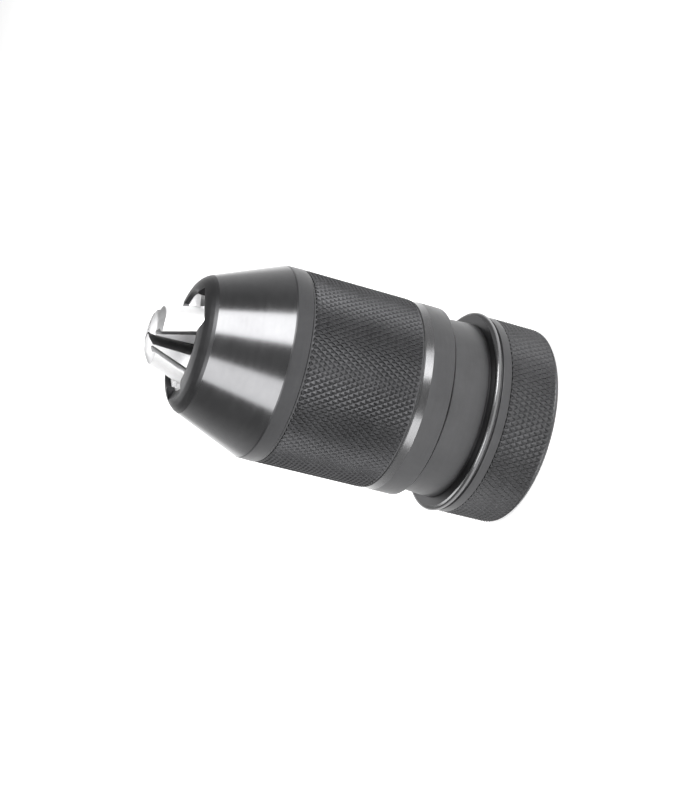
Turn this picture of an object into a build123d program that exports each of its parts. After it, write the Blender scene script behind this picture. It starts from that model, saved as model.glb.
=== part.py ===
from build123d import *
import math
import os

os.makedirs("parts", exist_ok=True)

# Self-tightening keyless drill chuck, 1 to 13 mm, on a B16 short taper.
# It stands on its rear face, jaws up. Origin: centre of the rear face.
# Shown with the jaws closed to their smallest size.

# driving dimensions, mm
D_GRIP = 50.0            # diameter over the knurled grip
D_COLLAR = 53.2          # diameter over the collar lip
D_SCREW = 16.0           # outside diameter of the jaw screw thread
PITCH = 3.0              # left-hand thread pitch
HALF_CONE = 20.0         # angle between each jaw and the axis, degrees
CAPACITY_MIN = 1.0       # smallest drill
CAPACITY_MAX = 13.0      # largest drill
TAPER_D = 15.733         # B16 large end diameter
TAPER_RATE = 20.047      # length per unit of diameter
TAPER_DEPTH = 24.5

R_GRIP = D_GRIP / 2
R_LIP = D_COLLAR / 2
R_HUB = 13.0             # hub that carries the neck ring, collar and bearing
R_FLANGE = 18.4          # front flange of the hub
R_SPIGOT = 22.5          # joint between sleeve and hood
R_SPIGOT_IN = 19.0
R_BORE = 21.2            # joint between hood and jaw guide
R_SKIRT_IN = 18.2
R_HEAD = 17.8            # head of the jaw screw
R_MOUTH = 12.4           # opening in the nose
R_SHANK = 6.7            # way through the jaw guide for the largest drill

Z_COLLAR = 18.2          # front of the collar
Z_NECK = 28.0            # front of the neck ring
Z_SLEEVE = 28.4          # rear of the sleeve
Z_HOOD = 36.7            # rear of the hood
Z_FLANGE0, Z_FLANGE1 = 44.0, 50.5
Z_SKIRT = 52.0
Z_STOP = 86.0            # lip in the nose that holds the jaw guide
Z_RIM = 91.8
Z_HEAD0, Z_HEAD1 = 67.3, 74.8
Z_EDGE = 99.5            # height at which the jaw back is measured
Z_TIP = 100.6            # jaw tips when closed
SPOT_R, SPOT_Z = 10.8, 89.75   # centre of each round counterbore in the nose
R_SPOT = 6.6

BALL_R, BALL_PATH, BALL_Z, BALLS = 2.0, 16.0, 40.0, 20
GRIP_R = CAPACITY_MIN / 2
TRAVEL_R = (CAPACITY_MAX - CAPACITY_MIN) / 2
TRAVEL_Z = TRAVEL_R / math.tan(math.radians(HALF_CONE))

# jaw section, square to its slide: u is across, n is outward
JAW_HALF = 4.2           # half width at the edge of the back
CROWN = 1.5              # height of the rounded back
GROOVE_TOP, GROOVE_LOW = 0.3, 1.4
GROOVE_DEPTH = 1.0
BACK_R_TIP = 5.65        # radius of the back edge at that height
JAW_REAR_R = 15.0        # rear part of each jaw turned down to this
HOOK0, HOOK1 = 6.3, 11.5
STEM_HALF, FOOT_HALF = 2.3, 3.9
RUN = 0.08               # running clearance of the jaws in the guide
PIN_R = 1.25             # key pins

JAWS = (90.0, 210.0, 330.0)
GAPS = (30.0, 150.0, 270.0)
SB, CB = math.sin(math.radians(HALF_CONE)), math.cos(math.radians(HALF_CONE))


def turn(points, mode=Mode.ADD):
    """Revolve a closed outline of (radius, height) points about the axis."""
    with BuildSketch(Plane.XZ) as outline:
        with BuildLine():
            Polyline(*points, close=True)
        make_face()
    revolve(outline.sketch, axis=Axis.Z, mode=mode)


def disc(r0, r1, z0, z1, mode=Mode.ADD):
    turn([(r0, z0), (r1, z0), (r1, z1), (r0, z1)], mode)


def bar(r0, r1, half, z0, z1, a, mode=Mode.ADD):
    """A radial bar from r0 to r1, at azimuth a."""
    c, s = math.cos(math.radians(a)), math.sin(math.radians(a))
    corners = [(r0, -half), (r1, -half), (r1, half), (r0, half)]
    with BuildSketch(Plane.XY.offset(z0)) as outline:
        with BuildLine():
            Polyline(*[(x * c - y * s, x * s + y * c) for x, y in corners], close=True)
        make_face()
    extrude(outline.sketch, amount=z1 - z0, dir=(0, 0, 1), mode=mode)


def pins(z0, length, mode=Mode.ADD, radius=13.0):
    """Three axial pins on the gap azimuths, half in each of two pieces."""
    with BuildSketch(Plane.XY.offset(z0)) as outline:
        with PolarLocations(radius, 3, start_angle=GAPS[0]):
            Circle(PIN_R)
    extrude(outline.sketch, amount=length, dir=(0, 0, 1), mode=mode)


def jaw_plane(a, behind=0.0):
    """Plane square to the slide of a jaw at azimuth a; x runs outward, z toward the tip."""
    c, s = math.cos(math.radians(a)), math.sin(math.radians(a))
    d = (-SB * c, -SB * s, CB)
    origin = (BACK_R_TIP * c - behind * d[0], BACK_R_TIP * s - behind * d[1], Z_EDGE - behind * d[2])
    return Plane(origin=origin, x_dir=(CB * c, CB * s, SB), z_dir=d)


def jaw_prism(a, gap, ahead, behind, inward, mode=Mode.ADD):
    """The sliding section of a jaw, grown by gap."""
    h = JAW_HALF + gap
    g = GROOVE_DEPTH
    pl = jaw_plane(a, behind)
    with BuildSketch(pl) as outline:
        with BuildLine():
            Polyline(
                (0, h), (-GROOVE_TOP - gap, h), (-GROOVE_TOP - gap, h - g), (-GROOVE_LOW + gap, h - g),
                (-GROOVE_LOW + gap, h), (-inward, h), (-inward, -h), (-GROOVE_LOW + gap, -h),
                (-GROOVE_LOW + gap, -h + g), (-GROOVE_TOP - gap, -h + g), (-GROOVE_TOP - gap, -h), (0, -h),
            )
            ThreePointArc((0, -h), (CROWN + gap, 0), (0, h))
        make_face()
    extrude(outline.sketch, amount=ahead + behind, dir=pl.z_dir, mode=mode)


def nose_spot(a):
    """Round counterbore in the nose, square to the slide of the jaw."""
    c, s = math.cos(math.radians(a)), math.sin(math.radians(a))
    seat = Plane(origin=(SPOT_R * c, SPOT_R * s, SPOT_Z), x_dir=(CB * c, CB * s, SB), z_dir=(-SB * c, -SB * s, CB))
    with BuildSketch(seat) as spot:
        Circle(R_SPOT)
    extrude(spot.sketch, amount=12, dir=seat.z_dir, mode=Mode.SUBTRACT)


# ---------------------------------------------------------------- hood
Z_GRIP0, Z_GRIP1 = 37.9, 66.3
with BuildPart() as hood:
    turn([
        (R_SPIGOT, Z_HOOD), (R_GRIP - 0.5, Z_HOOD), (R_GRIP - 0.15, Z_HOOD + 0.35),
        (R_GRIP - 0.45, Z_HOOD + 0.6), (R_GRIP - 0.45, Z_HOOD + 0.9), (R_GRIP, Z_GRIP0),
        (R_GRIP, Z_GRIP1 - 0.5), (R_GRIP - 0.4, Z_GRIP1 - 0.1), (R_GRIP - 0.4, Z_GRIP1 + 0.3),
        (R_GRIP - 0.02, Z_GRIP1 + 0.6), (R_GRIP - 0.15, 70.8), (R_GRIP - 0.3, 71.15),
        (17.69, 88.4), (17.25, 89.2), (16.45, 90.15), (15.4, 90.95), (14.2, 91.5), (13.6, 91.7),
        (13.1, Z_RIM), (12.7, 91.65), (R_MOUTH, 91.2), (R_MOUTH, Z_STOP), (14.9, Z_STOP),
        (R_BORE, 72.0), (R_BORE, Z_SKIRT), (R_SPIGOT, Z_SKIRT),
    ])
    for a in JAWS:
        nose_spot(a)
    pins(Z_SKIRT, 8, Mode.SUBTRACT, R_BORE)
hood.part.label = "hood"
export_step(hood.part, "parts/hood.step")

# ---------------------------------------------------------------- jaw guide
with BuildPart() as jaw_guide:
    turn([
        (R_SKIRT_IN, Z_SKIRT), (R_BORE, Z_SKIRT), (R_BORE, 72.0), (14.9, Z_STOP), (R_MOUTH, Z_STOP),
        (R_MOUTH, 90.6), (R_SHANK, 87.5 + 3.1 * R_SHANK / R_MOUTH), (R_SHANK, 76.0), (R_SKIRT_IN, 76.0),
    ])
    for a in JAWS:
        jaw_prism(a, RUN, 0.0, 45.0, 14.5, Mode.SUBTRACT)
        nose_spot(a)
        # way out for the turned-down rear of the jaw
        bar(16.0, 22.5, JAW_HALF + 0.4, Z_SKIRT - 1, 69.5, a, Mode.SUBTRACT)
    pins(Z_SKIRT, 8, Mode.SUBTRACT, R_BORE)
jaw_guide.part.label = "jaw_guide"
export_step(jaw_guide.part, "parts/jaw_guide.step")

with BuildPart() as guide_dowels:
    pins(Z_SKIRT, 8, Mode.ADD, R_BORE)
guide_dowels.part.label = "guide_dowels"
export_step(guide_dowels.part, "parts/guide_dowels.step")

# ---------------------------------------------------------------- jaws
APEX = 0.40              # where the two flats of a jaw would meet
W_COS, W_SIN = 0.5, math.sqrt(0.75)
LAND = (GRIP_R - APEX) * W_SIN / W_COS
with BuildPart() as blank:
    # the third of the circle that belongs to one jaw
    with BuildSketch(Plane.XY.offset(Z_HEAD1 + 0.2)):
        with BuildLine():
            Polyline((GRIP_R, LAND), (APEX + 40 * W_COS, 40 * W_SIN), (40, 40), (40, -40),
                     (APEX + 40 * W_COS, -40 * W_SIN), (GRIP_R, -LAND), close=True)
        make_face()
    extrude(amount=Z_TIP - Z_HEAD1 - 0.2)
    jaw_prism(0.0, 0.0, 5.0, 45.0, 34.0, Mode.INTERSECT)
    # rear turned down so that it clears the hood when open
    disc(0, JAW_REAR_R, 60, 120, Mode.INTERSECT)
    # bevel round the tip
    turn([(0, 60), (30, 60), (30, 84.25), (7.6, 98.5), (5.4, 99.9), (2.5, Z_TIP - 0.08), (0, Z_TIP)], Mode.INTERSECT)
    # relief on the flanks, leaving a narrow gripping land
    for side in (1, -1):
        ca, sa = W_COS, side * W_SIN
        na, nb = W_SIN, -side * W_COS
        pa = Vector(3.85, side * JAW_HALF, 98.5)
        pb = Vector(4.15, side * JAW_HALF, 90.0)
        pc = Vector(APEX + 1.3 * ca, 1.3 * sa, 98.5)
        z = (pb - pa).cross(pc - pa).normalized()
        if z.dot(Vector(na, nb, 0)) > 0:
            z = z * -1
        face = Plane(origin=pa, x_dir=(pb - pa).normalized(), z_dir=z)
        with BuildSketch(face) as cut:
            Rectangle(90, 60)
        extrude(cut.sketch, amount=20, dir=face.z_dir, mode=Mode.SUBTRACT)
    # drill clearance behind the gripping length
    turn([(0, 60), (3.2, 60), (3.2, 81.0), (GRIP_R, 83.7), (0, 83.7)], Mode.SUBTRACT)
    # hook into the screw head
    bar(HOOK0, HOOK1, STEM_HALF, 70.0, Z_HEAD1 + 0.4, 0.0)
    bar(HOOK0, HOOK1, FOOT_HALF, 68.9, 71.7, 0.0)

with BuildPart() as jaw_1:
    add(Rot(0, 0, JAWS[0]) * blank.part)
jaw_1.part.label = "jaw_1"
export_step(jaw_1.part, "parts/jaw_1.step")

with BuildPart() as jaw_2:
    add(Rot(0, 0, JAWS[1]) * blank.part)
jaw_2.part.label = "jaw_2"
export_step(jaw_2.part, "parts/jaw_2.step")

with BuildPart() as jaw_3:
    add(Rot(0, 0, JAWS[2]) * blank.part)
jaw_3.part.label = "jaw_3"
export_step(jaw_3.part, "parts/jaw_3.step")

# ---------------------------------------------------------------- jaw screw
Z_SHANK = 44.5
ROOT_R = D_SCREW / 2 - 1.3
with BuildPart() as jaw_screw:
    turn([
        (0, Z_SHANK), (ROOT_R - 0.8, Z_SHANK), (ROOT_R, Z_SHANK + 0.8), (ROOT_R, 64.6), (D_SCREW / 2 - 0.4, 65.6),
        (D_SCREW / 2 - 0.4, Z_HEAD0), (R_HEAD - 0.5, Z_HEAD0), (R_HEAD, Z_HEAD0 + 0.5), (R_HEAD, Z_HEAD1 - 0.5),
        (R_HEAD - 0.5, Z_HEAD1), (0, Z_HEAD1),
    ])
    for a in JAWS:
        bar(HOOK0 - 0.3, R_HEAD + 1, FOOT_HALF + 0.1, 68.8, 71.8, a, Mode.SUBTRACT)
        bar(HOOK0 - 0.3, R_HEAD + 1, STEM_HALF + 0.1, 71.0, Z_HEAD1 + 1, a, Mode.SUBTRACT)
    # blind clearance for the drill shank
    disc(0, 3.0, Z_HEAD1 - 4.0, Z_HEAD1 + 1, Mode.SUBTRACT)
    # left-hand thread ridge
    with BuildLine() as path:
        Helix(pitch=PITCH, height=17.0, radius=ROOT_R, center=(0, 0, Z_SHANK + 1.6), lefthand=True)
    with BuildSketch(Plane(origin=path.line @ 0, x_dir=(1, 0, 0), z_dir=path.line % 0)):
        with BuildLine():
            Polyline((-0.25, -0.95), (1.25, -0.45), (1.25, 0.45), (-0.25, 0.95), close=True)
        make_face()
    sweep(path=path.line, is_frenet=True)
jaw_screw.part.label = "jaw_screw"
export_step(jaw_screw.part, "parts/jaw_screw.step")

# ---------------------------------------------------------------- sleeve
with BuildPart() as sleeve:
    turn([
        (16.0, Z_SLEEVE), (R_GRIP - 0.6, Z_SLEEVE), (R_GRIP - 0.1, Z_SLEEVE + 0.5), (R_GRIP - 0.1, 34.7),
        (R_GRIP - 0.9, 36.6), (R_GRIP - 0.9, Z_HOOD), (R_SPIGOT, Z_HOOD), (R_SPIGOT, Z_SKIRT),
        (R_SPIGOT_IN, Z_SKIRT), (R_SPIGOT_IN, 36.0), (14.2, 36.0), (14.2, Z_SLEEVE + 2.2), (16.0, Z_SLEEVE + 2.2),
    ])
sleeve.part.label = "sleeve"
export_step(sleeve.part, "parts/sleeve.step")

with BuildPart() as guide_bush:
    disc(R_HUB + 0.05, 14.2, Z_SLEEVE + 2.3, 36.0)
guide_bush.part.label = "guide_bush"
export_step(guide_bush.part, "parts/guide_bush.step")

with BuildPart() as dust_seal:
    disc(R_HUB + 0.05, 16.0, Z_SLEEVE + 0.1, Z_SLEEVE + 2.2)
dust_seal.part.label = "dust_seal"
export_step(dust_seal.part, "parts/dust_seal.step")

# ---------------------------------------------------------------- thrust bearing
TRACK_R = BALL_R + 0.03


def ball_track():
    """Groove the balls run in."""
    with BuildSketch(Plane.XZ) as track:
        with Locations((BALL_PATH, BALL_Z)):
            Circle(TRACK_R)
    revolve(track.sketch, axis=Axis.Z, mode=Mode.SUBTRACT)


with BuildPart() as rear_race:
    disc(R_HUB + 0.5, R_SPIGOT_IN, 36.0, 38.6)
    ball_track()
rear_race.part.label = "rear_race"
export_step(rear_race.part, "parts/rear_race.step")

with BuildPart() as front_race:
    disc(R_HUB, R_FLANGE, 41.4, 43.6)
    ball_track()
front_race.part.label = "front_race"
export_step(front_race.part, "parts/front_race.step")

with BuildPart() as shim_washer:
    disc(R_HUB, R_FLANGE, 43.6, Z_FLANGE0)
shim_washer.part.label = "shim_washer"
export_step(shim_washer.part, "parts/shim_washer.step")

with BuildPart() as ball_cage:
    disc(R_HUB + 0.4, R_SPIGOT_IN - 0.4, 39.05, 40.95)
    with PolarLocations(BALL_PATH, BALLS):
        Cylinder(TRACK_R, 200, mode=Mode.SUBTRACT)
ball_cage.part.label = "ball_cage"
export_step(ball_cage.part, "parts/ball_cage.step")

with BuildPart() as bearing_balls:
    with Locations((0, 0, BALL_Z)):
        with PolarLocations(BALL_PATH, BALLS):
            Sphere(BALL_R)
bearing_balls.part.label = "bearing_balls"
export_step(bearing_balls.part, "parts/bearing_balls.step")

# ---------------------------------------------------------------- body
R_TAPER0 = TAPER_D / 2
R_TAPER1 = R_TAPER0 - TAPER_DEPTH / (2 * TAPER_RATE)
R_NUT = D_SCREW / 2 + 0.35
with BuildPart() as body:
    turn([
        (R_TAPER0 + 0.4, 0), (R_HUB, 0), (R_HUB, Z_FLANGE0), (R_FLANGE, Z_FLANGE0), (R_FLANGE, Z_FLANGE1 - 0.5),
        (R_FLANGE - 0.5, Z_FLANGE1), (R_NUT + 0.6, Z_FLANGE1), (R_NUT, Z_FLANGE1 - 0.6), (R_NUT, 27.8),
        (R_NUT - 0.5, 27.3), (0, 27.3), (0, TAPER_DEPTH + 0.4), (R_TAPER1 - 0.6, TAPER_DEPTH + 0.4), (R_TAPER1 - 0.6, TAPER_DEPTH),
        (R_TAPER1, TAPER_DEPTH), (R_TAPER0 - 0.02, 0.4),
    ])
    pins(0, 10, Mode.SUBTRACT, R_HUB)
body.part.label = "body"
export_step(body.part, "parts/body.step")

with BuildPart() as neck_ring:
    turn([
        (R_HUB, Z_COLLAR), (23.1, Z_COLLAR), (23.1, Z_COLLAR + 0.25), (23.33, Z_COLLAR + 0.5), (22.65, Z_NECK - 0.4), (22.3, Z_NECK), (R_HUB, Z_NECK),
    ])
neck_ring.part.label = "neck_ring"
export_step(neck_ring.part, "parts/neck_ring.step")

with BuildPart() as knurled_collar:
    turn([
        (R_HUB, 0), (R_LIP - 1.4, 0), (R_LIP - 0.4, 1.0), (R_LIP - 0.4, 13.5), (R_LIP - 0.5, 13.65),
        (R_LIP - 0.5, 15.9), (R_LIP - 0.95, 16.15), (R_LIP - 0.95, 16.4), (R_LIP - 0.4, 16.6), (R_LIP - 0.1, 16.9),
        (R_LIP, 17.3), (R_LIP - 0.1, 17.7), (R_LIP - 0.4, 18.0), (R_LIP - 0.95, Z_COLLAR),
        (R_HUB, Z_COLLAR),
    ])
    pins(0, 10, Mode.SUBTRACT, R_HUB)
knurled_collar.part.label = "knurled_collar"
export_step(knurled_collar.part, "parts/knurled_collar.step")

with BuildPart() as collar_dowels:
    pins(0.3, 9.7, Mode.ADD, R_HUB)
collar_dowels.part.label = "collar_dowels"
export_step(collar_dowels.part, "parts/collar_dowels.step")
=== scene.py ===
import math
import random

import bmesh
import bpy
from mathutils import Matrix, Vector


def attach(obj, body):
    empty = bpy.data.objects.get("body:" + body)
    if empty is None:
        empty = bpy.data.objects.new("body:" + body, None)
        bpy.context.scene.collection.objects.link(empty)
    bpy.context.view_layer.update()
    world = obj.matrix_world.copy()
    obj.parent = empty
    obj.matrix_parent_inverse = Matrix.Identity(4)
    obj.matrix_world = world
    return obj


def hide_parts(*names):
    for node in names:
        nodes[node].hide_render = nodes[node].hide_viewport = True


MM = 0.001
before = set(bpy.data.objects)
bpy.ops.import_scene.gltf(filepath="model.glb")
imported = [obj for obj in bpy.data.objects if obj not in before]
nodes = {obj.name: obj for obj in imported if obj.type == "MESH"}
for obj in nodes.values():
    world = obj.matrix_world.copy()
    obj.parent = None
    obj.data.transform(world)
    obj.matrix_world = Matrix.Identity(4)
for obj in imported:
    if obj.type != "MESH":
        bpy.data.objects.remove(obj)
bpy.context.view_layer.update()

# ------------------------------------------------------------------ materials


def new_material(name):
    m = bpy.data.materials.new(name)
    m.use_nodes = True
    nt = m.node_tree
    nt.nodes.clear()
    out = nt.nodes.new("ShaderNodeOutputMaterial")
    bsdf = nt.nodes.new("ShaderNodeBsdfPrincipled")
    nt.links.new(bsdf.outputs[0], out.inputs[0])
    return m, nt, bsdf


def node(nt, kind, **props):
    n = nt.nodes.new(kind)
    for k, v in props.items():
        setattr(n, k, v)
    return n


def maths(nt, op, a, b=None, c=None):
    n = node(nt, "ShaderNodeMath", operation=op)
    for i, v in enumerate((a, b, c)):
        if v is None:
            continue
        if isinstance(v, (int, float)):
            n.inputs[i].default_value = v
        else:
            nt.links.new(v, n.inputs[i])
    return n.outputs[0]


def ramp(nt, fac, stops):
    n = node(nt, "ShaderNodeValToRGB")
    els = n.color_ramp.elements
    while len(els) < len(stops):
        els.new(0.5)
    for e, (p, c) in zip(els, stops):
        e.position = p
        e.color = c if isinstance(c, tuple) else (c, c, c, 1)
    nt.links.new(fac, n.inputs[0])
    return n.outputs[0]


def noise(nt, vec, scale, detail=3.0, rough=0.55):
    n = node(nt, "ShaderNodeTexNoise")
    n.inputs["Scale"].default_value = scale
    n.inputs["Detail"].default_value = detail
    n.inputs["Roughness"].default_value = rough
    nt.links.new(vec, n.inputs["Vector"])
    return n.outputs["Fac"]


def turned_coords(nt, ang_scale=1.0):
    """Coordinates in metres that run round the axis (x), along it (y) and outward (z)."""
    tc = node(nt, "ShaderNodeTexCoord")
    sep = node(nt, "ShaderNodeSeparateXYZ")
    nt.links.new(tc.outputs["Object"], sep.inputs[0])
    x, y, z = sep.outputs
    r = maths(nt, "SQRT", maths(nt, "ADD", maths(nt, "MULTIPLY", x, x), maths(nt, "MULTIPLY", y, y)))
    # cosine and sine keep the pattern seamless round the axis
    rr = maths(nt, "MAXIMUM", r, 1e-6)
    cx = maths(nt, "MULTIPLY", maths(nt, "DIVIDE", x, rr), ang_scale)
    cy = maths(nt, "MULTIPLY", maths(nt, "DIVIDE", y, rr), ang_scale)
    return tc.outputs["Object"], cx, cy, z, r


def steel(name, base, rough, line=0.0, line_depth=0.0, mottle=0.12, wear=0.0, wear_col=(0.5, 0.5, 0.5, 1),
          edge=0.00012, metallic=1.0, fine=0.02, lines_axis="z", aniso=0.0):
    """Turned or ground steel: lathe lines round the axis, slow tone variation, brighter worn edges."""
    m, nt, b = new_material(name)
    obj, cx, cy, z, r = turned_coords(nt, 0.0025)
    # lathe lines: very stretched noise, thin along the axis, long round it
    zl = maths(nt, "ADD", z, maths(nt, "MULTIPLY", r, 0.83))
    comb = node(nt, "ShaderNodeCombineXYZ")
    nt.links.new(cx, comb.inputs[0])
    nt.links.new(cy, comb.inputs[1])
    nt.links.new(zl, comb.inputs[2])
    lines = noise(nt, comb.outputs[0], 5200.0, 2.0, 0.6)
    lines2 = noise(nt, comb.outputs[0], 1500.0, 3.0, 0.6)
    slow = noise(nt, obj, 55.0, 4.0, 0.6)
    fine_n = noise(nt, obj, 1400.0, 3.0, 0.6)
    spots = noise(nt, obj, 300.0, 5.0, 0.65)

    # colour
    lo = tuple(c * (1 - mottle) for c in base) + (1,)
    hi = tuple(min(1, c * (1 + mottle)) for c in base) + (1,)
    mixv = maths(nt, "ADD", maths(nt, "MULTIPLY", slow, 0.55),
                 maths(nt, "ADD", maths(nt, "MULTIPLY", lines2, 0.25), maths(nt, "MULTIPLY", spots, 0.2)))
    col = ramp(nt, mixv, [(0.36, lo), (0.64, hi)])
    if wear > 0:
        bev = node(nt, "ShaderNodeBevel", samples=4)
        bev.inputs["Radius"].default_value = edge
        geo = node(nt, "ShaderNodeNewGeometry")
        dot = node(nt, "ShaderNodeVectorMath", operation="DOT_PRODUCT")
        nt.links.new(bev.outputs[0], dot.inputs[0])
        nt.links.new(geo.outputs["Normal"], dot.inputs[1])
        gap = maths(nt, "SUBTRACT", 1.0, dot.outputs["Value"])
        broken = maths(nt, "MULTIPLY", gap, maths(nt, "ADD", 0.35, spots))
        w = ramp(nt, broken, [(0.015, 0.0), (0.09, 1.0)])
        w = maths(nt, "MULTIPLY", w, wear)
        mix = node(nt, "ShaderNodeMix", data_type="RGBA")
        nt.links.new(w, mix.inputs[0])
        nt.links.new(col, mix.inputs[6])
        mix.inputs[7].default_value = wear_col
        col = mix.outputs[2]
    nt.links.new(col, b.inputs["Base Color"])

    # roughness
    rv = maths(nt, "ADD", maths(nt, "MULTIPLY", lines2, 0.45), maths(nt, "MULTIPLY", slow, 0.55))
    rr = ramp(nt, rv, [(0.35, rough * 0.86), (0.65, min(1.0, rough * 1.16))])
    nt.links.new(rr, b.inputs["Roughness"])

    # bump: lines and fine grain
    h = maths(nt, "ADD", maths(nt, "MULTIPLY", lines, line), maths(nt, "MULTIPLY", fine_n, fine))
    bump = node(nt, "ShaderNodeBump")
    bump.inputs["Strength"].default_value = 1.0
    bump.inputs["Distance"].default_value = line_depth if line_depth > 0 else 0.00001
    nt.links.new(h, bump.inputs["Height"])
    nt.links.new(bump.outputs[0], b.inputs["Normal"])
    b.inputs["Metallic"].default_value = metallic
    return m


mat_satin = steel("blackened_turned", (0.078, 0.078, 0.080), 0.40, 1.0, 0.0000030, wear=0.5,
                  wear_col=(0.26, 0.26, 0.27, 1), fine=0.5)
mat_band = steel("blackened_turned_front", (0.062, 0.062, 0.064), 0.36, 1.0, 0.0000026, wear=0.5,
                 wear_col=(0.24, 0.24, 0.25, 1), fine=0.4)
mat_neck = steel("blackened_turned_neck", (0.084, 0.084, 0.086), 0.42, 1.0, 0.0000030, wear=0.4,
                 wear_col=(0.26, 0.26, 0.27, 1), fine=0.5)
mat_polish = steel("blackened_polished_edge", (0.16, 0.16, 0.163), 0.22, 1.0, 0.0000015, mottle=0.08, wear=0.5,
                   wear_col=(0.5, 0.5, 0.51, 1), fine=0.2)
mat_cone = steel("blackened_ground_cone", (0.122, 0.122, 0.125), 0.18, 1.0, 0.0000020, mottle=0.10, wear=0.6,
                 wear_col=(0.4, 0.4, 0.41, 1), fine=0.25)
mat_knurl = steel("blackened_knurl", (0.052, 0.052, 0.054), 0.36, 0.3, 0.000003, mottle=0.22, wear=0.55,
                  wear_col=(0.20, 0.20, 0.21, 1), edge=0.00009, fine=0.9)
mat_knurl2 = steel("blackened_collar_knurl", (0.068, 0.068, 0.070), 0.38, 0.3, 0.000003, mottle=0.22, wear=0.55,
                   wear_col=(0.22, 0.22, 0.23, 1), edge=0.00009, fine=0.9)
mat_grey = steel("turned_grey_steel", (0.34, 0.34, 0.35), 0.36, 1.0, 0.000004, wear=0.3, fine=0.5)
mat_guide = steel("ground_guide_steel", (0.74, 0.74, 0.745), 0.34, 1.0, 0.000003, mottle=0.06, wear=0.2,
                  wear_col=(0.9, 0.9, 0.9, 1), fine=0.6)
# painted light: ground jaw steel whose near-white tone stands both for the steel's own colour and for the strongly lit
# jaw backs that face the lamps
mat_jaw_painted_bright = steel("ground_jaw_steel_painted_bright", (0.95, 0.95, 0.953), 0.34, 1.0, 0.0000030, mottle=0.05, wear=0.25,
                   wear_col=(0.96, 0.96, 0.96, 1), fine=1.0, metallic=0.6)
# painted shade: a darker copy of the same ground jaw steel for the sides and front tips, which face away from the lamps
mat_jaw_side_painted_shade = steel("ground_jaw_steel_painted_shade", (0.58, 0.58, 0.585), 0.42, 1.0, 0.0000040, mottle=0.16, wear=0.25,
                  wear_col=(0.85, 0.85, 0.85, 1), fine=1.6)
# painted shade: darker steel tone for the jaws' relief faces that form the V gap between them and for the grooves under
# the back's edges, where shade falls
mat_jaw_gap_painted_shade = steel("jaw_gap_painted_shade_steel", (0.30, 0.30, 0.303), 0.45, 1.0, 0.0000030, mottle=0.2, wear=0.3,
                   wear_col=(0.3, 0.3, 0.3, 1), fine=0.8)
mat_race = steel("ground_race_steel", (0.66, 0.66, 0.67), 0.22, 1.0, 0.0000015, mottle=0.06)
mat_pin = steel("ground_pin_steel", (0.55, 0.55, 0.56), 0.25, 1.0, 0.0000015, mottle=0.06)
mat_ball = steel("polished_ball_steel", (0.78, 0.78, 0.79), 0.09, 0.2, 0.0000005, mottle=0.03, fine=0.1)
mat_bronze = steel("turned_bronze", (0.56, 0.37, 0.16), 0.33, 1.0, 0.000004, mottle=0.12)


def felt():
    m, nt, b = new_material("pressed_felt")
    tc = node(nt, "ShaderNodeTexCoord")
    a = noise(nt, tc.outputs["Object"], 900.0, 6.0, 0.7)
    c = noise(nt, tc.outputs["Object"], 4000.0, 3.0, 0.7)
    f = maths(nt, "ADD", maths(nt, "MULTIPLY", a, 0.6), maths(nt, "MULTIPLY", c, 0.4))
    nt.links.new(ramp(nt, f, [(0.3, (0.18, 0.16, 0.14, 1)), (0.7, (0.40, 0.36, 0.31, 1))]), b.inputs["Base Color"])
    b.inputs["Roughness"].default_value = 0.95
    bump = node(nt, "ShaderNodeBump")
    bump.inputs["Distance"].default_value = 0.0002
    nt.links.new(f, bump.inputs["Height"])
    nt.links.new(bump.outputs[0], b.inputs["Normal"])
    return m


mat_felt = felt()

for name, mat in {
    "jaw_guide": mat_guide, "guide_dowels": mat_pin, "jaw_screw": mat_grey, "guide_bush": mat_bronze,
    "dust_seal": mat_felt, "rear_race": mat_race, "front_race": mat_race, "shim_washer": mat_pin,
    "ball_cage": mat_bronze, "bearing_balls": mat_ball, "body": mat_grey, "collar_dowels": mat_pin,
    "hood": mat_satin, "sleeve": mat_satin, "neck_ring": mat_neck, "knurled_collar": mat_knurl2,
    "jaw_1": mat_jaw_painted_bright, "jaw_2": mat_jaw_painted_bright, "jaw_3": mat_jaw_painted_bright,
}.items():
    o = nodes[name]
    o.data.materials.clear()
    o.data.materials.append(mat)

# ------------------------------------------------------------------ turned meshes

STARTS = 105             # knurl diamonds round the circle
SEG = STARTS * 4


def rounded(points):
    """Outline of (r, z[, fillet radius]) in mm, corners with a radius turned into arcs."""
    out = []
    n = len(points)
    for i, p in enumerate(points):
        rad = p[2] if len(p) > 2 else 0.0
        c = Vector(p[:2])
        if rad <= 0:
            out.append((c.x, c.y))
            continue
        a = (Vector(points[i - 1][:2]) - c)
        b = (Vector(points[(i + 1) % n][:2]) - c)
        la, lb = a.length, b.length
        a.normalize()
        b.normalize()
        half = math.acos(max(-1, min(1, a.dot(b)))) / 2
        t = min(rad / math.tan(half), la * 0.48, lb * 0.48)
        rad = t * math.tan(half)
        centre = c + (a + b).normalized() * (rad / math.sin(half))
        s0 = math.atan2(*(c + a * t - centre).yx)
        s1 = math.atan2(*(c + b * t - centre).yx)
        d = (s1 - s0 + math.pi) % (2 * math.pi) - math.pi
        steps = max(2, min(6, int(abs(d) / math.radians(16)) + 1))
        for k in range(steps + 1):
            s = s0 + d * k / steps
            out.append((centre.x + rad * math.cos(s), centre.y + rad * math.sin(s)))
    return out


def tri(x):
    x = x % 1.0
    return 1 - abs(2 * x - 1)


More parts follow.
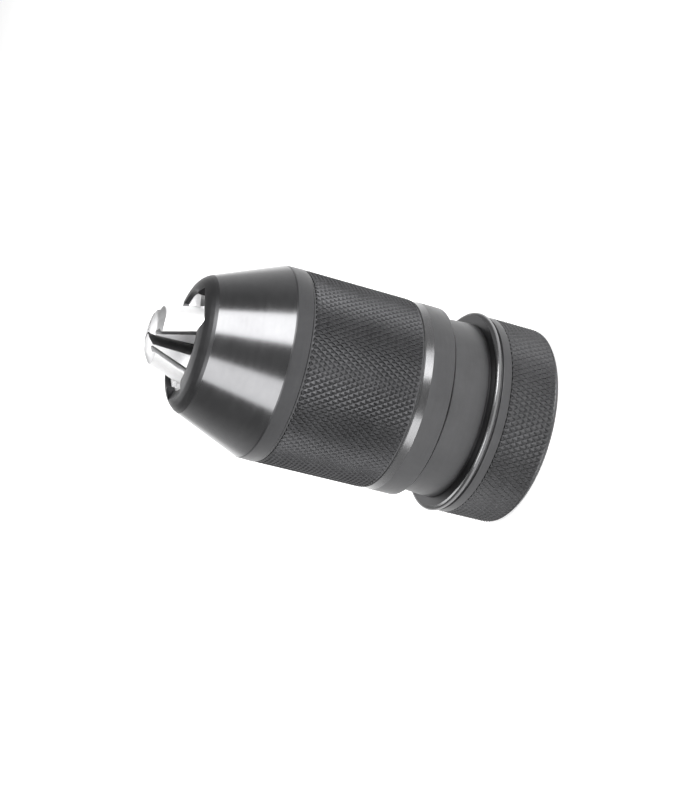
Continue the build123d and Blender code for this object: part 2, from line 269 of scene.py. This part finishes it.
def lathe(name, outline, knurls=(), materials=(), zone=None, seg=SEG):
    """Closed ring of revolution. knurls: (index after which rows go, z0, z1, crest radius, depth, axial periods).
    The outline runs anticlockwise in (r, z), so outward faces come out right way round."""
    rings = []           # (list of radii or one radius, z, knurl row number or None)
    ks = {k[0]: k for k in knurls}
    for i, (r, z) in enumerate(outline):
        rings.append((r, z, None))
        if i in ks:
            _, z0, z1, crest, depth, periods = ks[i]
            rows = int(round(periods * 4))
            for j in range(rows + 1):
                rr = []
                for s in range(seg):
                    u = (s + j) / 4.0
                    v = (s - j) / 4.0
                    h = min(tri(u), tri(v)) * 1.0
                    rr.append(crest - depth * (1 - h))
                rings.append((rr, z0 + (z1 - z0) * j / rows, j))
    bm = bmesh.new()
    cs = [(math.cos(2 * math.pi * s / seg), math.sin(2 * math.pi * s / seg)) for s in range(seg)]
    grid = []
    for r, z, j in rings:
        row = []
        for s, (c, sn) in enumerate(cs):
            q = r[s] if isinstance(r, list) else r
            row.append(bm.verts.new((q * c * MM, q * sn * MM, z * MM)))
        grid.append(row)
    n = len(grid)
    for k in range(n):
        k2 = (k + 1) % n
        a, b = grid[k], grid[k2]
        ja, jb = rings[k][2], rings[k2][2]
        inside = ja is not None and jb is not None and jb == ja + 1
        for s in range(seg):
            s2 = (s + 1) % seg
            if inside:
                if (s + ja) % 2 == 0:
                    bm.faces.new((a[s], a[s2], b[s2]))
                    bm.faces.new((a[s], b[s2], b[s]))
                else:
                    bm.faces.new((a[s], a[s2], b[s]))
                    bm.faces.new((a[s2], b[s2], b[s]))
            else:
                bm.faces.new((a[s], a[s2], b[s2], b[s]))
    bmesh.ops.recalc_face_normals(bm, faces=bm.faces)
    me = bpy.data.meshes.new(name)
    bm.to_mesh(me)
    bm.free()
    for m in materials:
        me.materials.append(m)
    if zone:
        for p in me.polygons:
            p.material_index = zone(p.center.z / MM, math.hypot(p.center.x, p.center.y) / MM)
    o = bpy.data.objects.new(name, me)
    bpy.context.scene.collection.objects.link(o)
    return o


def finish_mesh(o, angle=28.0):
    me = o.data
    me.polygons.foreach_set("use_smooth", [True] * len(me.polygons))
    me.set_sharp_from_angle(angle=math.radians(angle))
    me.update()


def bake_modifiers(o):
    """Replace the object's mesh with its evaluated one, and drop the modifiers."""
    bpy.context.view_layer.update()
    dg = bpy.context.evaluated_depsgraph_get()
    me = bpy.data.meshes.new_from_object(o.evaluated_get(dg))
    o.modifiers.clear()
    o.data = me
    return o


SB, CB = math.sin(math.radians(20)), math.cos(math.radians(20))
JAWS = (90, 210, 330)


def to_object(name, bm):
    bmesh.ops.recalc_face_normals(bm, faces=bm.faces)
    me = bpy.data.meshes.new(name)
    bm.to_mesh(me)
    bm.free()
    o = bpy.data.objects.new(name, me)
    bpy.context.scene.collection.objects.link(o)
    return o


def solid_prism(name, loop, origin, ax, ay, az, t0, t1):
    """Prism in mm: the loop's (x, y) along ax and ay, from t0 to t1 along az."""
    bm = bmesh.new()
    low = [bm.verts.new(origin + ax * x + ay * y + az * t0) for x, y in loop]
    top = [bm.verts.new(origin + ax * x + ay * y + az * t1) for x, y in loop]
    bm.faces.new(low[::-1])
    bm.faces.new(top)
    for k in range(len(loop)):
        q = (k + 1) % len(loop)
        bm.faces.new((low[k], low[q], top[q], top[k]))
    return to_object(name, bm)


def solid_turned(name, points, seg=240):
    """Solid of revolution in mm from (r, z) points that start and end near the axis."""
    bm = bmesh.new()
    grid = [[bm.verts.new((r * math.cos(2 * math.pi * k / seg), r * math.sin(2 * math.pi * k / seg), z))
             for k in range(seg)] for r, z in points]
    for a, b in zip(grid[:-1], grid[1:]):
        for k in range(seg):
            q = (k + 1) % seg
            bm.faces.new((a[k], a[q], b[q], b[k]))
    bm.faces.new(grid[0][::-1])
    bm.faces.new(grid[-1])
    return to_object(name, bm)


def combine(o, others, how):
    """Boolean with each of the others in turn, which are then removed."""
    for q in others:
        md = o.modifiers.new("cut", "BOOLEAN")
        md.operation = how
        md.solver = "EXACT"
        md.object = q
    bake_modifiers(o)
    for q in others:
        bpy.data.objects.remove(q)


def shrink(o):
    """From millimetres to metres."""
    o.data.transform(Matrix.Scale(MM, 4))
    o.data.update()


def jaw_axes(a):
    c, s = math.cos(math.radians(a)), math.sin(math.radians(a))
    return Vector((CB * c, CB * s, SB)), Vector((-s, c, 0)), Vector((-SB * c, -SB * s, CB))


def spot(a, scale=1.0):
    """Round counterbore in the nose, square to the slide of the jaw."""
    ax, ay, az = jaw_axes(a)
    c, s = math.cos(math.radians(a)), math.sin(math.radians(a))
    loop = [(6.6 * math.cos(math.radians(t * 3)), 6.6 * math.sin(math.radians(t * 3))) for t in range(120)]
    o = solid_prism("spot", loop, Vector((10.8 * c, 10.8 * s, 89.75)), ax, ay, az, 0, 12)
    if scale != 1.0:
        o.data.transform(Matrix.Scale(scale, 4))
    return o


def slide_section(a, gap, ahead, behind, inward):
    """The sliding section of a jaw, grown by gap, as a solid in mm."""
    ax, ay, az = jaw_axes(a)
    c, s = math.cos(math.radians(a)), math.sin(math.radians(a))
    h = 4.2 + gap
    top, low, g = -0.3 - gap, -1.4 + gap, 1.0
    loop = [(0, h), (top, h), (top, h - g), (low, h - g), (low, h), (-inward, h)]
    loop += [(x, -y) for x, y in loop[::-1]]
    crown = 1.5 + gap
    big = (h * h + crown * crown) / (2 * crown)
    half = math.asin(h / big)
    for k in range(1, 36):
        t = -half + 2 * half * k / 36
        loop.append((crown - big + big * math.cos(t), big * math.sin(t)))
    return solid_prism("section", loop, Vector((5.65 * c, 5.65 * s, 99.5)), ax, ay, az, -behind, ahead)


def box_bar(r0, r1, half, z0, z1, a):
    c, s = math.cos(math.radians(a)), math.sin(math.radians(a))
    return solid_prism("bar", [(r0, -half), (r1, -half), (r1, half), (r0, half)], Vector((0, 0, 0)),
                       Vector((c, s, 0)), Vector((-s, c, 0)), Vector((0, 0, 1)), z0, z1)


def pin_holes(z0, z1, radius, scale=1.0):
    out = []
    for a in (30, 150, 270):
        loop = [(1.25 * math.cos(math.radians(t * 7.5)), 1.25 * math.sin(math.radians(t * 7.5))) for t in range(48)]
        c, s = math.cos(math.radians(a)), math.sin(math.radians(a))
        o = solid_prism("pin", loop, Vector((radius * c, radius * s, 0)), Vector((1, 0, 0)), Vector((0, 1, 0)),
                        Vector((0, 0, 1)), z0, z1)
        if scale != 1.0:
            o.data.transform(Matrix.Scale(scale, 4))
        out.append(o)
    return out


# hood ------------------------------------------------------------------------
hood_outline = rounded([
    (22.5, 36.7), (24.5, 36.7, 0.12), (24.85, 37.05, 0.15), (24.55, 37.3), (24.55, 37.6),
    # knurled grip: rows go in after this point
    (24.58, 66.2), (24.6, 66.6, 0.1), (24.98, 66.9, 0.2), (24.85, 70.8, 0.2), (24.7, 71.15, 0.25),
    (17.69, 88.4, 0.5), (17.25, 89.2, 0.8), (16.45, 90.15, 1.5), (15.4, 90.95, 2.0), (14.2, 91.48, 2.0),
    (13.6, 91.68, 1.0), (13.1, 91.78, 0.6), (12.7, 91.64, 0.5), (12.4, 91.2, 0.5), (12.4, 86.0), (14.9, 86.0), (21.2, 72.0),
    (21.2, 52.0), (22.5, 52.0),
])
at = max(i for i, p in enumerate(hood_outline) if abs(p[1] - 37.6) < 0.01)


def hood_zone(z, r):
    if r < 22.6 and z < 71:
        return 0
    if 37.5 < z < 66.35 and r > 24:
        return 1
    if 71.1 < z < 88.6 and r > 24.7 - (z - 71.15) * 0.4062 - 0.4:
        return 2
    return 3 if z > 66.4 else 0


hood = lathe("hood_shell", hood_outline, [(at, 37.75, 66.05, 25.0, 0.42, 12.5)],
             [mat_satin, mat_knurl, mat_cone, mat_band], hood_zone)
# three round counterbores in the nose, square to the jaws
combine(hood, [spot(a, MM) for a in JAWS], "DIFFERENCE")
finish_mesh(hood)
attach(hood, "hood")
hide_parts("hood")

# sleeve ----------------------------------------------------------------------
sleeve = lathe("sleeve_band", rounded([
    (16.0, 28.4), (24.4, 28.4, 0.15), (24.9, 28.9, 0.2), (24.9, 34.7, 0.12), (24.1, 36.6, 0.08), (24.1, 36.7), (22.5, 36.7),
    (22.5, 52.0), (19.0, 52.0), (19.0, 36.0), (14.2, 36.0), (14.2, 30.6), (16.0, 30.6),
]), materials=[mat_satin, mat_polish], zone=lambda z, r: 1 if 34.72 < z < 36.62 and r > 24.0 else 0)
finish_mesh(sleeve)
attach(sleeve, "hood")
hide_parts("sleeve")

# neck ------------------------------------------------------------------------
neck = lathe("neck_waist", rounded([
    (13.0, 18.2), (23.1, 18.2), (23.1, 18.45), (23.33, 18.7, 0.1), (22.65, 27.6, 0.2), (22.3, 28.0, 0.1), (13.0, 28.0),
]), materials=[mat_neck])
finish_mesh(neck)
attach(neck, "chuck_body")
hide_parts("neck_ring")

# collar ----------------------------------------------------------------------
collar_outline = rounded([
    (13.0, 0.0), (25.2, 0.0, 0.3), (26.0, 0.8, 0.3), (25.75, 1.15), (25.75, 1.25),
    (25.75, 13.45), (25.95, 13.55, 0.1), (26.1, 13.7, 0.15), (26.1, 15.9, 0.15), (25.65, 16.15, 0.08), (25.65, 16.4, 0.08),
    (26.2, 16.6, 0.3), (26.5, 16.9, 0.5), (26.6, 17.3, 0.6), (26.5, 17.7, 0.5), (26.2, 18.0, 0.3), (25.65, 18.2, 0.08),
    (13.0, 18.2),
])
at = max(i for i, p in enumerate(collar_outline) if abs(p[1] - 1.25) < 0.01)


def collar_zone(z, r):
    if 1.2 < z < 13.5 and r > 25:
        return 1
    return 2 if z > 16.35 and r > 25.5 else 0


collar = lathe("holding_collar", collar_outline, [(at, 1.3, 13.4, 26.2, 0.45, 4.5)],
               [mat_satin, mat_knurl2, mat_polish], collar_zone)
combine(collar, pin_holes(-1, 10, 13.0, MM), "DIFFERENCE")
finish_mesh(collar)
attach(collar, "chuck_body")
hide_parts("knurled_collar")

# jaws ------------------------------------------------------------------------
APEX, WC, WS = 0.40, 0.5, math.sqrt(0.75)
LAND = (0.5 - APEX) * WS / WC
blank = slide_section(0, 0.0, 5.0, 45.0, 34.0)
third = solid_prism("third", [(0.5, LAND), (APEX + 40 * WC, 40 * WS), (40, 40), (40, -40), (APEX + 40 * WC, -40 * WS),
                              (0.5, -LAND)], Vector((0, 0, 0)), Vector((1, 0, 0)), Vector((0, 1, 0)), Vector((0, 0, 1)),
                    75.0, 100.6)
tip = solid_turned("tip", [(0.02, 60), (15.0, 60), (15.0, 93.75), (7.6, 98.47), (5.75, 99.64), (5.4, 99.84),
                           (5.0, 99.96), (2.5, 100.5), (0.02, 100.58)])
combine(blank, [third, tip], "INTERSECT")
cuts = []
for side in (1, -1):
    pa = Vector((3.85, side * 4.2, 98.5))
    pb = Vector((4.15, side * 4.2, 90.0))
    pc = Vector((APEX + 1.3 * WC, side * 1.3 * WS, 98.5))
    z = (pb - pa).cross(pc - pa).normalized()
    if z.dot(Vector((WS, -side * WC, 0))) > 0:
        z = -z
    x = (pb - pa).normalized()
    cuts.append(solid_prism("flank", [(-45, -30), (45, -30), (45, 30), (-45, 30)], pa, x, z.cross(x), z, 0, 20))
cuts.append(solid_turned("bore", [(0.01, 60), (3.2, 60), (3.2, 81.0), (0.5, 83.7), (0.01, 83.7)], 96))
combine(blank, cuts, "DIFFERENCE")
combine(blank, [box_bar(6.3, 11.5, 2.3, 70.0, 75.2, 0), box_bar(6.3, 11.5, 3.9, 68.9, 71.7, 0)], "UNION")
bm = bmesh.new()
bm.from_mesh(blank.data)
bmesh.ops.remove_doubles(bm, verts=bm.verts, dist=0.004)
bmesh.ops.dissolve_degenerate(bm, edges=bm.edges, dist=0.002)
bm.to_mesh(blank.data)
bm.free()
md = blank.modifiers.new("edges", "BEVEL")
md.width = 0.10
md.segments = 2
md.limit_method = "ANGLE"
md.angle_limit = math.radians(33)
bake_modifiers(blank)
blank.data.materials.clear()
for m in (mat_jaw_painted_bright, mat_jaw_side_painted_shade, mat_jaw_gap_painted_shade):
    blank.data.materials.append(m)
ax, ay, az = jaw_axes(0)
for p in blank.data.polygons:
    rel = Vector(p.center) - Vector((5.65, 0, 99.5))
    n, u, w = rel.dot(ax), rel.dot(ay), rel.dot(az)
    nn = Vector(p.normal)
    # faces are sorted by the way they face: backs keep the painted bright tone, sides and forward-facing tip faces take
    # the painted shade tone
    p.material_index = 0
    if (abs(nn.dot(ay)) > 0.9 and abs(u) > 4.1) or nn.z > 0.7:
        p.material_index = 1
    # painted shade: the grooves just under the back's edges take the dark gap tone
    if -1.45 < n < -0.25 and 3.1 < abs(u) < 4.12 and w < 0:
        p.material_index = 2
    # painted shade: the relief faces that form the V gap between the jaws take the dark gap tone
    if max(nn.dot(Vector((-WS, WC, 0))), nn.dot(Vector((-WS, -WC, 0)))) > 0.93:
        p.material_index = 2
shrink(blank)
for i, a in zip((1, 2, 3), JAWS):
    name = f"jaw_{i}"
    me = blank.data.copy()
    me.transform(Matrix.Rotation(math.radians(a), 4, "Z"))
    o = bpy.data.objects.new(f"{name}_ground", me)
    bpy.context.scene.collection.objects.link(o)
    finish_mesh(o, 14)
    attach(o, name)
    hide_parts(name)
bpy.data.objects.remove(blank)

# jaw guide -------------------------------------------------------------------
guide = lathe("jaw_guide_cone", [
    (18.2, 52.0), (21.2, 52.0), (21.2, 72.0), (14.9, 86.0), (12.4, 86.0), (12.4, 90.45), (12.25, 90.56),
    (6.9, 89.2), (6.7, 89.05), (6.7, 76.0), (18.2, 76.0),
], seg=240)
guide.data.transform(Matrix.Scale(1000, 4))
cuts = []
for a in JAWS:
    cuts += [slide_section(a, 0.08, 0.0, 45.0, 14.5), spot(a), box_bar(16.0, 22.5, 4.6, 51.0, 69.5, a)]
cuts += pin_holes(51, 60, 21.2)
combine(guide, cuts, "DIFFERENCE")
shrink(guide)
guide.data.materials.clear()
guide.data.materials.append(mat_guide)
finish_mesh(guide, 25)
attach(guide, "hood")
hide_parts("jaw_guide")

# hub -------------------------------------------------------------------------
hub = lathe("hub", rounded([
    (8.2665, 0.0), (13.0, 0.0), (13.0, 44.0), (18.4, 44.0, 0.15), (18.4, 50.0), (17.9, 50.5), (8.95, 50.5),
    (8.35, 49.9), (8.35, 27.8), (7.85, 27.3), (0.01, 27.3), (0.01, 24.9), (6.6555, 24.9), (6.6555, 24.5),
    (7.2555, 24.5), (7.8465, 0.4),
]), seg=240)
combine(hub, pin_holes(-1, 10, 13.0, MM), "DIFFERENCE")
hub.data.materials.clear()
hub.data.materials.append(mat_grey)
finish_mesh(hub, 25)
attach(hub, "chuck_body")
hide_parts("body")

for name in ("guide_dowels", "jaw_screw", "guide_bush", "dust_seal", "rear_race", "front_race",
             "shim_washer", "ball_cage", "bearing_balls", "collar_dowels"):
    me = nodes[name].data
    me.polygons.foreach_set("use_smooth", [True] * len(me.polygons))
    me.set_sharp_from_angle(angle=math.radians(25))

# ------------------------------------------------------------------ stage
bm = bmesh.new()
bmesh.ops.create_grid(bm, x_segments=1, y_segments=1, size=6.0)
me = bpy.data.meshes.new("floor")
bm.to_mesh(me)
bm.free()
floor = bpy.data.objects.new("floor", me)
bpy.context.scene.collection.objects.link(floor)
m, nt, b = new_material("pale_floor")
b.inputs["Base Color"].default_value = (0.9, 0.9, 0.9, 1)
b.inputs["Roughness"].default_value = 0.9
b.inputs["Emission Color"].default_value = (1, 1, 1, 1)
b.inputs["Emission Strength"].default_value = 0.45
floor.data.materials.append(m)

world = bpy.data.worlds.new("studio")
bpy.context.scene.world = world
world.use_nodes = True
nt = world.node_tree
nt.nodes.clear()
out = nt.nodes.new("ShaderNodeOutputWorld")
bg = nt.nodes.new("ShaderNodeBackground")
nt.links.new(bg.outputs[0], out.inputs[0])
tc = nt.nodes.new("ShaderNodeTexCoord")
sep = nt.nodes.new("ShaderNodeSeparateXYZ")
nt.links.new(tc.outputs["Generated"], sep.inputs[0])
nt.links.new(ramp(nt, sep.outputs[2], [(0.0, 0.95), (0.10, 0.85), (0.30, 0.36), (1.0, 0.5)]), bg.inputs[0])
bg.inputs[1].default_value = 1.0


def softbox(name, az, el, dist, w, h, power, aim=(0, 0, 0.07)):
    li = bpy.data.lights.new(name, "AREA")
    li.shape = "RECTANGLE"
    li.size = w
    li.size_y = h
    li.energy = power
    o = bpy.data.objects.new(name, li)
    bpy.context.scene.collection.objects.link(o)
    a, e = math.radians(az), math.radians(el)
    p = Vector((math.cos(a) * math.cos(e), math.sin(a) * math.cos(e), math.sin(e))) * dist + Vector(aim)
    o.location = p
    o.rotation_mode = "QUATERNION"
    o.rotation_quaternion = (p - Vector(aim)).to_track_quat("Z", "Y")
    return o


softbox("key_right", -26.7, 30, 1.2, 0.76, 0.75, 13.8)
softbox("key_left", -109.7, 30, 1.2, 0.76, 0.75, 8.4)
softbox("back_fill", 120, 45, 1.6, 1.2, 0.9, 10.0)

scene = bpy.context.scene
scene.view_settings.view_transform = "Standard"
scene.view_settings.look = "None"

cam = bpy.data.cameras.new("camera")
cam.sensor_width = 36.0
cam.lens = 1640.2 * 36.0 / 800.0
cam.clip_start = 0.01
cam.clip_end = 50
co = bpy.data.objects.new("camera", cam)
scene.collection.objects.link(co)
right = Vector((0.328, -0.234, -0.915)).normalized()
back = Vector((0.265, -0.907, 0.327)).normalized()
right = (right - back * right.dot(back)).normalized()
up = back.cross(right)
R = Matrix((right, up, back)).transposed()
co.matrix_world = Matrix.Translation(Vector((107.6, -382.1, 182.8)) * MM) @ R.to_4x4()
scene.camera = co
